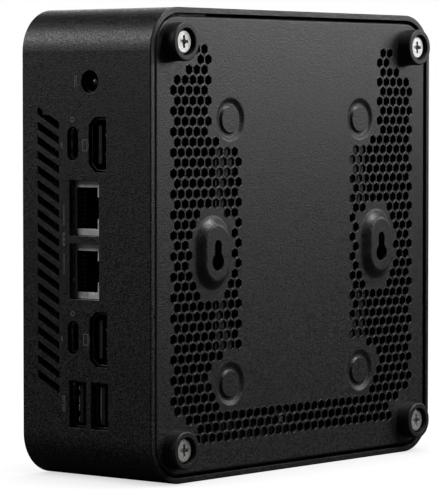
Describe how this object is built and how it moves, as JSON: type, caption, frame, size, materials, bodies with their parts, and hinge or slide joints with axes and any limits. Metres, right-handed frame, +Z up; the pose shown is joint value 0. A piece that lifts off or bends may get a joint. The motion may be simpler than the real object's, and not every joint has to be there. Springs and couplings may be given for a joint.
{
  "type": "mini pc",
  "caption": "Small square desktop computer on its side: grained black case, pierced steel bottom plate with rubber feet and hanging keyholes, rear sockets, front button, fan inside.",
  "frame": {"origin": "middle of the footprint of the box round the object, on the surface under the lower side wall", "axes": "+Z up, from the side wall it stands on to the other; the front panel faces -Y, the rear sockets face +Y, the lid faces +X and the bottom plate with its feet faces -X"},
  "size_m": [0.0542, 0.1324, 0.1356],
  "materials": {
    "case_plastic": "fine-grained matt black moulded plastic",
    "lid_plastic": "smooth matt black plastic",
    "plate_paint": "satin black powder coat on sheet steel",
    "foot_rubber": "matt black rubber",
    "screw_steel": "bright plated steel",
    "bracket_steel": "plain zinc-coated steel",
    "drive_case": "dark satin metal",
    "socket_plastic": "black moulded plastic",
    "ribbon_film": "thin printed film",
    "circuit_board": "solder-masked board",
    "component_black": "moulded components",
    "processor_green": "chip package",
    "copper": "bare copper",
    "fin_aluminium": "bare aluminium fins",
    "fan_plastic": "black moulded fan plastic",
    "socket_steel": "plated socket shell",
    "lead_jacket": "thin coaxial jacket",
    "contact_gold": "gold-plated contacts",
    "button_plastic": "satin black plastic",
    "light_lens": "clear moulded light pipe"
  },
  "bodies": {
    "case": {"housing": "case_plastic", "top_cover": "lid_plastic", "bottom_plate": "plate_paint", "rubber_feet": "foot_rubber", "corner_screws": "screw_steel", "drive_tray": "bracket_steel", "tray_rivets": "screw_steel", "storage_drive": "drive_case", "drive_screws": "screw_steel", "drive_plug": "socket_plastic", "drive_ribbon": "ribbon_film", "main_board": "circuit_board", "board_screws": "screw_steel", "board_components": "component_black", "processor": "processor_green", "cold_plate": "copper", "heat_pipe": "copper", "fin_stack": "fin_aluminium", "blower_case": "fan_plastic", "blower_cover": "bracket_steel", "blower_screws": "screw_steel", "fan_stator": "copper", "memory_sockets": "socket_plastic", "memory_modules": "circuit_board", "ssd_socket": "socket_plastic", "ssd_module": "circuit_board", "ssd_screw": "screw_steel", "wireless_card": "socket_steel", "antennas": "ribbon_film", "antenna_leads": "lead_jacket", "coin_cell_holder": "socket_plastic", "coin_cell": "screw_steel", "dc_jack": "socket_plastic", "dc_pin": "contact_gold", "usb_c_shells": "socket_steel", "usb_c_tongues": "socket_plastic", "video_shells": "socket_steel", "video_tongues": "socket_plastic", "network_shields": "socket_steel", "network_inserts": "socket_plastic", "network_contacts": "contact_gold", "usb_a_shells": "socket_steel", "usb_a_tongues": "socket_plastic", "usb_a_contacts": "contact_gold", "audio_jack": "socket_plastic", "power_switch": "socket_steel", "light_pipe": "light_lens", "lock_plate": "bracket_steel"},
    "fan": {"fan_rotor": "fan_plastic"},
    "button": {"power_button": "button_plastic"},
    "plunger": {"switch_plunger": "socket_plastic"}
  },
  "joints": [
    {"name": "fan_spin", "type": "hinge", "parent": "case", "child": "fan", "pos_m": [0.0181, 0.01, 0.0648], "axis": [1, 0, 0], "continuous": true},
    {"name": "button_press", "type": "slide", "parent": "case", "child": "button", "axis": [0, 1, 0], "range_m": [0, 0.0004], "stiffness_N_per_m": 2000},
    {"name": "plunger_press", "type": "slide", "parent": "case", "child": "plunger", "axis": [0, 1, 0], "range_m": [0, 0.0004]}
  ],
  "couplings": [
    {"joint": "plunger_press", "follows": "button_press", "ratio": 1}
  ]
}
